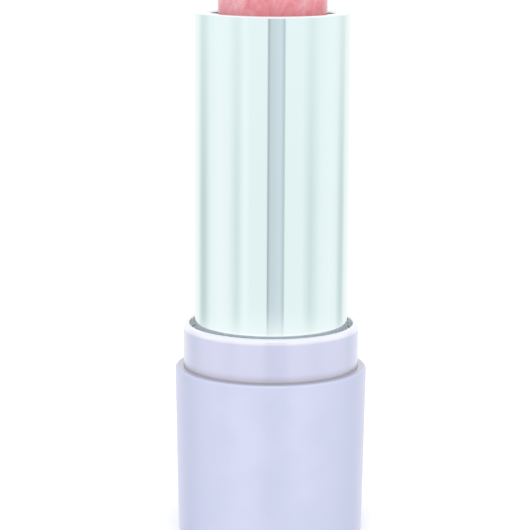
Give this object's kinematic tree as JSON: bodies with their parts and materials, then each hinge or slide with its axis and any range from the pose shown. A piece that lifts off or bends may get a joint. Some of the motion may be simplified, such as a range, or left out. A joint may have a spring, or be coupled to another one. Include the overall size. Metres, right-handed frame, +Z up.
{
  "type": "lipstick",
  "caption": "Upright twist-up lipstick without its cap: round base and collar, turning sleeve, and a slanted gel bullet with a flower in it, raised by a spiral cam.",
  "frame": {"origin": "middle of the foot, on the common axis, in the plane that the lipstick stands on", "axes": "+Z up the axis towards the bullet's tip; the bullet's slanted face looks along -Y, the picture's front"},
  "size_m": [0.0216, 0.0216, 0.0755],
  "materials": {
    "lavender_lacquer": "smooth pale lavender lacquer",
    "lavender_anodised": "pale lavender, satin, polished round its top edge",
    "bright_aluminium": "bright polished silver",
    "plated_steel": "zinc plated",
    "natural_nylon": "moulded, natural",
    "white_acetal": "moulded, white",
    "grey_silicone": "matte",
    "rose_gel": "translucent rose gel, glossy",
    "dried_petal": "dried petals, rose with deeper veins"
  },
  "bodies": {
    "base": {"base_shell": "lavender_lacquer", "base_weight": "plated_steel", "base_insert": "natural_nylon", "collar": "lavender_anodised", "guide_tube": "natural_nylon", "brake_washer": "grey_silicone"},
    "sleeve": {"outer_sleeve": "bright_aluminium", "spiral_cam": "white_acetal"},
    "carrier": {"carrier_cup": "white_acetal", "bullet": "rose_gel", "flower": "dried_petal"}
  },
  "joints": [
    {"name": "sleeve_turn", "type": "hinge", "parent": "base", "child": "sleeve", "pos_m": [0, 0, 0.0209], "axis": [0, 0, 1], "range_deg": [-90, 450]},
    {"name": "carrier_slide", "type": "slide", "parent": "base", "child": "carrier", "axis": [0, 0, 1], "range_m": [-0.0175, 0.0035]}
  ],
  "couplings": [
    {"joint": "carrier_slide", "follows": "sleeve_turn", "m_per_rad": -0.0022282}
  ]
}
